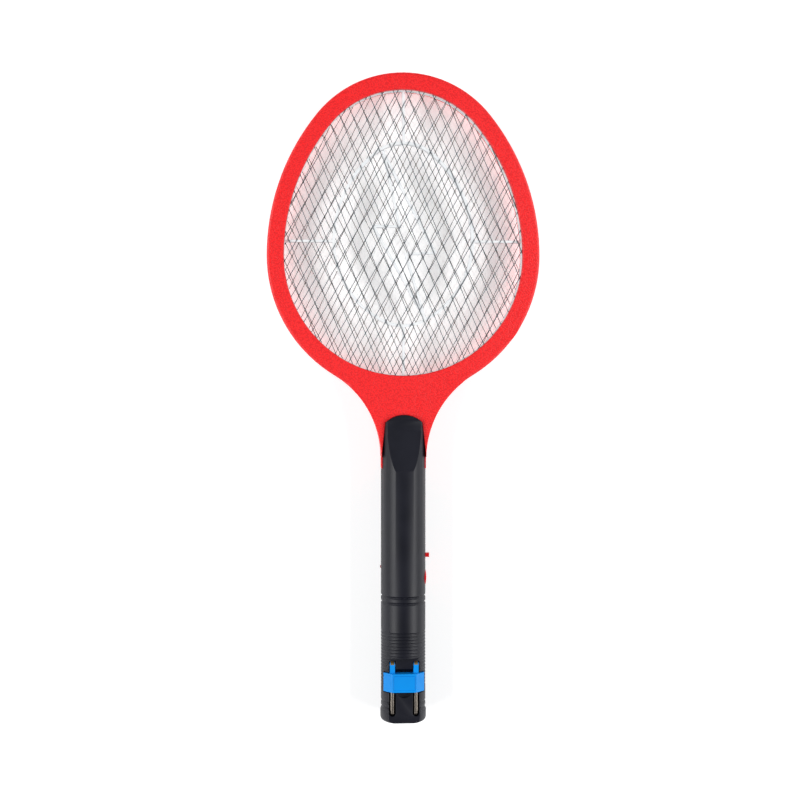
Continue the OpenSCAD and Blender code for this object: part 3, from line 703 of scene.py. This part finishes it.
def _shade(mesh: bpy.types.Mesh, limit: float) -> None:
    """Shades a mesh smoothly, apart from its sharp edges.

    Args:
        mesh: The mesh.
        limit: The angle in degrees from which an edge is sharp.
    """
    bm = bmesh.new()
    bm.from_mesh(mesh)
    for face in bm.faces:
        face.smooth = True
    for edge in bm.edges:
        flat = len(edge.link_faces) == 2
        edge.smooth = flat and edge.calc_face_angle(0.0) < math.radians(limit)
    bm.to_mesh(mesh)
    bm.free()


# ---- Head ----


@dataclass
class Opening:
    """The head's opening: side arcs that run smoothly into a smaller end arc."""

    half: float
    rise: float
    end_gap: float
    centre_y: float

    def outline(self, out: float, steps: int = 48) -> list[Vector]:
        """Points round the opening.

        Args:
            out: How far outside the opening's edge they lie.
            steps: How many points each quarter has.

        Returns:
            The points, anticlockwise from the right, at height 0.
        """
        end_r = self.half - self.end_gap
        end_y = self.rise + self.end_gap
        side_r = self.half + (end_y**2 - self.end_gap**2) / (2 * self.end_gap)
        turn = math.atan2(end_y, side_r - self.half)
        quarter = []
        for i in range(steps):
            a = math.radians(90) * i / (steps - 1)
            if a < turn:
                quarter.append(((side_r + out) * math.cos(a) - side_r + self.half,
                                (side_r + out) * math.sin(a)))
            else:
                quarter.append(((end_r + out) * math.cos(a), end_y + (end_r + out) * math.sin(a)))
        low = [((self.half + out) * math.cos(a), -(self.half + out) * math.sin(a))
               for a in (math.radians(90) * i / steps for i in range(steps, 0, -1))]
        upper = quarter + [(-x, y) for x, y in reversed(quarter[:-1])]
        under = [(-x, y) for x, y in reversed(low[1:])] + low
        return [Vector((x, self.centre_y + y, 0.0)) for x, y in upper + under]


@dataclass
class MeshLayer:
    """One mesh of crossed straight wires that fills the opening.

    A cell is the width and the height of one diamond, and reach is how far the wires run on
    under the frame. Welds lie within weld_share of the rim's ellipse.
    """

    name: str
    node: str
    slot: str
    finish: Finish
    cell: tuple[float, float]
    wire_d: float
    turn: float = 0.0
    weld: float = 0.0
    sides: int = 8
    reach: float = 3.6 * MM
    smooth: float = 50.0
    shortest: float = 2 * MM
    weld_stretch: float = 1.5
    weld_share: float = 0.95
    foot_h: float = 3 * MM
    lug_h: float = 9 * MM

    def build(self, opening: Opening) -> None:
        """Lays both families of wires and the welds where they cross.

        Args:
            opening: The opening that the mesh fills.
        """
        low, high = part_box(self.node)
        shape = Shape()
        centre = Vector((0.0, opening.centre_y, (low.z + high.z) / 2))
        spin = Matrix.Rotation(math.radians(self.turn), 4, "Z")
        turned = Matrix.Translation(centre) @ spin
        into = turned.inverted()
        rim = [into @ Vector((p.x, p.y, centre.z)) for p in opening.outline(self.reach)]
        reach = 2 * opening.half + opening.rise
        count = math.ceil(reach / min(self.cell))
        for side in (-1, 1):
            for k in range(-count, count):
                ends = self._clip(rim, side, k + 0.5)
                if ends:
                    shape.rod(turned @ ends[0], turned @ ends[1], self.wire_d / 2, self.sides)
        if self.weld:
            self._welds(shape, turned, rim, count)
        self._lug(shape, low, centre.z)
        shape.piece(
            self.name, self.finish, "racket", [self.node], self.slot, smooth=self.smooth
        )

    def _clip(self, rim: list[Vector], side: int, k: float) -> tuple[Vector, Vector] | None:
        """Where the line x / cell x + side * y / cell y = k enters and leaves the rim.

        Args:
            rim: The points round the opening.
            side: Which way the line leans, -1 or 1.
            k: Which line of its family it is.

        Returns:
            The line's two ends, or None if it misses the opening.
        """
        found = []
        values = [p.x / self.cell[0] + side * p.y / self.cell[1] - k for p in rim]
        for i, value in enumerate(values):
            before = values[i - 1]
            if (before < 0) != (value < 0):
                found.append(rim[i - 1].lerp(rim[i], before / (before - value)))
        if len(found) != 2 or (found[0] - found[1]).length < self.shortest:
            return None
        return found[0], found[1]

    def _welds(self, shape: Shape, turned: Matrix, rim: list[Vector], count: int) -> None:
        """Adds a flat bead at every crossing inside the rim.

        Args:
            shape: The shape that the beads are added to.
            turned: Where the mesh lies.
            rim: The points round the opening.
            count: How many wires there are on each side of the middle.
        """
        far_x = max(p.x for p in rim)
        high_y = max(p.y for p in rim)
        low_y = min(p.y for p in rim)
        size = Vector((self.weld, self.weld * self.weld_stretch, self.wire_d / 2))
        for i in range(-count, count):
            for j in range(-count, count):
                x = (i + j + 1) / 2 * self.cell[0]
                y = (i - j) / 2 * self.cell[1]
                tall = high_y if y > 0 else -low_y
                if (x / far_x) ** 2 + (y / tall) ** 2 < self.weld_share:
                    shape.bead(turned @ Vector((x, y, 0.0)), size)

    def _lug(self, shape: Shape, low: Vector, z: float) -> None:
        """Adds the solder lug at the mesh's lower edge, in the CAD node's own place.

        Args:
            shape: The shape that the lug is added to.
            low: The lower corner of the CAD node's box.
            z: The height of the mesh.
        """
        verts = [v.co for v in bpy.data.objects[self.node].data.vertices]
        foot = [v.x for v in verts if v.y < low.y + self.foot_h]
        half_t = self.wire_d / 2
        top_y = low.y + self.lug_h
        shape.block((min(foot), low.y, z - half_t), (max(foot), top_y, z + half_t))


@dataclass
class Head:
    """The red frame's two halves, the spacers and the three meshes.

    The rounding is full on the rim, and a share of it at the opening, from neck_l to shoulder_l
    above the tongue's end, and below neck_l. Edges within ring of the opening's ellipse belong
    to the opening.
    """

    rim_w: float = 13.6 * MM
    rise: float = 36.7 * MM
    end_gap: float = 20.3 * MM
    rim_round: float = 2.1 * MM
    ring: float = 1.08
    opening_share: float = 0.4
    shoulder_share: float = 0.5
    neck_share: float = 0.1
    shoulder_l: float = 12 * MM
    neck_l: float = 1 * MM
    spacer_edge: float = 0.3 * MM
    guard_cell: tuple[float, float] = (10.5 * MM, 21.2 * MM)
    guard_wire_d: float = 0.55 * MM
    guard_weld: float = 0.6 * MM
    front_turn: float = -4.0
    fine_cell: tuple[float, float] = (4.6 * MM, 6.8 * MM)
    fine_wire_d: float = 0.2 * MM

    def __post_init__(self) -> None:
        """Takes the head's place from the frame."""
        self.low, self.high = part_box("head_front_frame")
        half = self.high.x
        self.centre_y = self.high.y - half - self.rise
        self.opening = Opening(half - self.rim_w, self.rise, self.end_gap, self.centre_y)

    def build(self) -> None:
        """Builds every piece of the head."""
        self._frame("red_front_rim", "head_front_frame", self.high.z)
        self._frame("red_rear_rim", "head_rear_frame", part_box("head_rear_frame")[0].z)
        for name in ("front_spacer", "rear_spacer"):
            shape = Shape.copied(name)
            shape.weigh_corners(SQUARE_CORNER)
            shape.piece(
                f"white_{name}", WHITE_PLASTIC, "racket", [name], "white_plastic",
                width=self.spacer_edge, segments=2,
            )
        for layer in (
            MeshLayer("front_guard_wires", "front_guard_mesh", "guard_wire", GUARD_WIRE,
                      self.guard_cell, self.guard_wire_d, self.front_turn, self.guard_weld),
            MeshLayer("rear_guard_wires", "rear_guard_mesh", "guard_wire", REAR_WIRE,
                      self.guard_cell, self.guard_wire_d, weld=self.guard_weld),
            MeshLayer("fine_mesh_wires", "hv_mesh", "bright_mesh", FINE_WIRE,
                      self.fine_cell, self.fine_wire_d, sides=6),
        ):
            layer.build(self.opening)

    def _frame(self, name: str, node: str, face_z: float) -> None:
        """Builds one half of the frame, with its outer edge and the opening's edge rounded.

        Args:
            name: The piece's name.
            node: The CAD node that it stands for.
            face_z: The height of the half's outer face.
        """
        shape = Shape.copied(node)
        rims = shape.wide_loops(face_z, self.opening.half)
        half = self.opening.half
        tongue_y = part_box("handle_front_shell")[1].y

        def weight(edge: bmesh.types.BMEdge, angle: float) -> float:
            """How far an edge is rounded: wide outside, less at the opening and at the neck.

            Args:
                edge: The edge.
                angle: The angle at it, which doesn't matter here.

            Returns:
                The share of the widest rounding.
            """
            if edge not in rims:
                return 0.0
            middle = (edge.verts[0].co + edge.verts[1].co) / 2
            tall = half + (self.rise if middle.y > self.centre_y else 0.0)
            ring = (middle.x / half) ** 2 + ((middle.y - self.centre_y) / tall) ** 2
            if ring < self.ring:
                return self.opening_share
            if middle.y < tongue_y + self.neck_l:
                return self.neck_share
            return 1.0 if middle.y > tongue_y + self.shoulder_l else self.shoulder_share

        shape.weigh(weight)
        shape.piece(name, RED_PLASTIC, "racket", [node], "red_plastic",
                    width=self.rim_round, segments=5)


# ---- Handle, plug, controls and what is inside ----


def rounded(
    node: str, finish: Finish, slot: str, width: float, body: str = "racket", segments: int = 2,
    smooth: float = SOFT_SHADING, level: bool = True,
) -> None:
    """Builds a piece that keeps its CAD shape, with its edges rounded.

    Args:
        node: The CAD node.
        finish: The piece's finish.
        slot: The record's material slot.
        width: How far its edges are rounded.
        body: The body that it moves with.
        segments: How many steps a rounded edge has.
        smooth: The angle up to which edges are shaded smoothly.
        level: Whether wide faces are shaded flat between their rounded edges.
    """
    shape = Shape.copied(node)
    shape.weigh_corners(SHELL_CORNER)
    shape.piece(f"{node}_piece", finish, body, [node], slot, width=width, segments=segments,
                smooth=smooth, level=level)


def dress(finish: Finish, *nodes: str) -> None:
    """Gives CAD nodes that stay a finish.

    Args:
        finish: The finish.
        nodes: The nodes' names.
    """
    for node in nodes:
        mesh = bpy.data.objects[node].data
        mesh.materials.clear()
        mesh.materials.append(finish.material())
        log.info("%s: %s", node, finish.name)


@dataclass
class Screws:
    """The screws, whose heads get a cross recess as wide as recess_share of the head."""

    recess_w: float = 0.55 * MM
    recess_share: float = 0.62
    recess_depth: float = 0.9 * MM
    edge: float = 0.15 * MM

    def build(self) -> None:
        """Builds the head's screws and the handle's screws."""
        for node in ("head_screws", "handle_screws"):
            shape = Shape.copied(node)
            cross = Shape()
            for low, high in shape.islands():
                middle = (low + high) / 2
                arm = self.recess_share * (high.x - low.x) / 2
                for reach_x, reach_y in ((arm, self.recess_w / 2), (self.recess_w / 2, arm)):
                    reach = Vector((reach_x, reach_y, self.recess_depth))
                    foot = Vector((middle.x, middle.y, low.z))
                    cross.block(foot - reach, foot + reach)
            shape.cut(cross)
            shape.weigh_corners(SQUARE_CORNER)
            shape.piece(f"{node}_piece", ZINC, "racket", [node], "zinc_steel",
                        width=self.edge, segments=2)


@dataclass
class Handle:
    """The handle's two shells and the lamp."""

    edge: float = 0.2 * MM
    smooth: float = 26.0

    def build(self) -> None:
        """Builds the shells and dresses the lamp."""
        for node in ("handle_front_shell", "handle_rear_shell"):
            rounded(node, CHARCOAL_PLASTIC, "charcoal_plastic", self.edge,
                    smooth=self.smooth, level=False)
        dress(LAMP, "indicator_led")


@dataclass
class Plug:
    """The folding plug, with its pins, contacts and hinge pin."""

    edge: float = 0.3 * MM

    def build(self) -> None:
        """Builds the carrier and dresses the metal parts."""
        rounded("plug_carrier", BLUE_PLASTIC, "blue_plastic", self.edge, "plug")
        # The pins' finish carries painted shade from their slots.
        dress(SHADED_NICKEL, "plug_pins")
        dress(BRASS, "plug_contacts", "contact_springs")
        dress(ZINC, "plug_hinge_pin")


@dataclass
class Controls:
    """The slide switch and the push button."""

    knob_edge: float = 0.12 * MM
    case_edge: float = 0.15 * MM

    def build(self) -> None:
        """Builds the knob and the switches, and dresses the button."""
        rounded("switch_knob", RED_GLOSS, "red_gloss", self.knob_edge, "switch_slider")
        rounded("switch_body", TIN_CAN, "switch_can", self.case_edge)
        rounded("button_switch", BLACK_PLASTIC, "black_plastic", self.case_edge)
        dress(RED_GLOSS, "button_cap")
        dress(WHITE_PLASTIC, "button_plunger")


@dataclass
class Electronics:
    """What the handle holds: battery, boards, parts and leads."""

    board_edge: float = 0.1 * MM
    battery_edge: float = 1.2 * MM
    dip_edge: float = 1.2 * MM
    disc_edge: float = 0.7 * MM
    coil_edge: float = 0.5 * MM
    core_edge: float = 0.25 * MM

    def build(self) -> None:
        """Builds the moulded and dipped parts, and dresses the small ones and the leads."""
        rounded("battery", BATTERY_CASE, "battery_case", self.battery_edge)
        rounded("circuit_board", SOLDER_MASK, "green_board", self.board_edge)
        rounded("charge_board", PHENOLIC, "tan_board", self.board_edge)
        rounded("transformer_core", FERRITE, "ferrite", self.core_edge)
        rounded("transformer_coil", COIL_TAPE, "yellow_tape", self.coil_edge)
        for node in ("hv_capacitor", "charge_capacitor"):
            rounded(node, BROWN_DIP, "brown_film", self.dip_edge, segments=3)
        rounded("disc_capacitors", BLUE_DIP, "blue_ceramic", self.disc_edge, segments=3)
        rounded("transistor", BLACK_PLASTIC, "black_plastic", self.board_edge)
        dress(BLACK_PLASTIC, "rectifier_diodes", "charge_diodes")
        dress(TAN_LACQUER, "resistors")
        dress(BRASS, "battery_tabs", "mesh_clips")
        dress(BROWN_SLEEVE, "mains_leads")
        dress(RED_SLEEVE, "charge_leads", "hv_lead")
        dress(BLACK_SLEEVE, "battery_leads", "guard_lead")


# ---- Studio ----


@dataclass
class Studio:
    """A white floor, two long softboxes, a dim surround and the camera.

    The softboxes stand far from the part's middle, slanted from upright to either side.
    """

    floor_half: float = 6.0
    floor_base: Colour = (0.9, 0.9, 0.9)
    floor_roughness: float = 0.7
    floor_glow: float = 0.4
    surround: Colour = (0.9, 0.94, 1.0)
    surround_strength: float = 0.12
    eye: tuple[float, float, float] = (-0.077, 0.044, 1.0901)
    aim: tuple[float, float, float] = (-0.0155, 0.0180, 0.0185)
    lens: float = 60.0
    sensor: float = 36.0
    clip_end: float = 20.0
    shift: tuple[float, float] = (0.02, -0.03)
    box_size: tuple[float, float] = (0.55, 2.0)
    power: float = 24.0
    slant: float = 52.0
    far: float = 1.5

    def build(self) -> None:
        """Builds the floor, the lights, the surround and the camera."""
        scene = bpy.context.scene
        scene.view_settings.view_transform = "Standard"
        self._floor()
        self._world(scene)
        for name, side in (("softbox_left", -1), ("softbox_right", 1)):
            self._softbox(name, side)
        camera = bpy.data.cameras.new("camera")
        camera.lens = self.lens
        camera.sensor_width = self.sensor
        camera.shift_x, camera.shift_y = self.shift
        camera.clip_end = self.clip_end
        eye = bpy.data.objects.new("camera", camera)
        eye.location = self.eye
        back = Vector(self.eye) - Vector(self.aim)
        across = Vector((0, 1, 0)).cross(back).normalized()
        up = back.cross(across).normalized()
        turn = Matrix((across, up, back.normalized())).transposed()
        eye.rotation_euler = turn.to_euler()
        scene.collection.objects.link(eye)
        scene.camera = eye

    def _floor(self) -> None:
        """Adds a large white floor just under the part, which gives off a little light."""
        bm = bmesh.new()
        bmesh.ops.create_grid(bm, x_segments=1, y_segments=1, size=self.floor_half)
        mesh = bpy.data.meshes.new("floor")
        bm.to_mesh(mesh)
        bm.free()
        graph = Graph("white_floor")
        graph.set("Base Color", self.floor_base)
        graph.set("Roughness", self.floor_roughness)
        graph.set("Emission Color", (1.0, 1.0, 1.0))
        graph.set("Emission Strength", self.floor_glow)
        mesh.materials.append(graph.material)
        floor = bpy.data.objects.new("floor", mesh)
        bpy.context.scene.collection.objects.link(floor)

    def _world(self, scene: bpy.types.Scene) -> None:
        """Adds a dim, cool surround.

        Args:
            scene: The scene.
        """
        world = bpy.data.worlds.new("surround")
        world.use_nodes = True
        background = world.node_tree.nodes["Background"]
        background.inputs["Color"].default_value = _rgba(self.surround)
        background.inputs["Strength"].default_value = self.surround_strength
        scene.world = world

    def _softbox(self, name: str, side: int) -> None:
        """Adds a softbox on one side, long along the part and turned towards it.

        Args:
            name: The lamp's name.
            side: The side that it stands on, -1 or 1.
        """
        data = bpy.data.lights.new(name, "AREA")
        data.shape = "RECTANGLE"
        data.size, data.size_y = self.box_size
        data.energy = self.power
        lamp = bpy.data.objects.new(name, data)
        slant = side * math.radians(self.slant)
        lamp.location = (self.far * math.sin(slant), 0.0, self.far * math.cos(slant))
        lamp.rotation_euler = (0.0, slant, 0.0)
        bpy.context.scene.collection.objects.link(lamp)


def main() -> None:
    """Builds the whole visual model."""
    logging.basicConfig(level=logging.INFO, format="%(name)s: %(message)s")
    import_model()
    Studio().build()
    for assembly in (Head(), Screws(), Handle(), Plug(), Controls(), Electronics()):
        log.info("building %s", type(assembly).__name__)
        assembly.build()


if __name__ == "__main__":
    main()
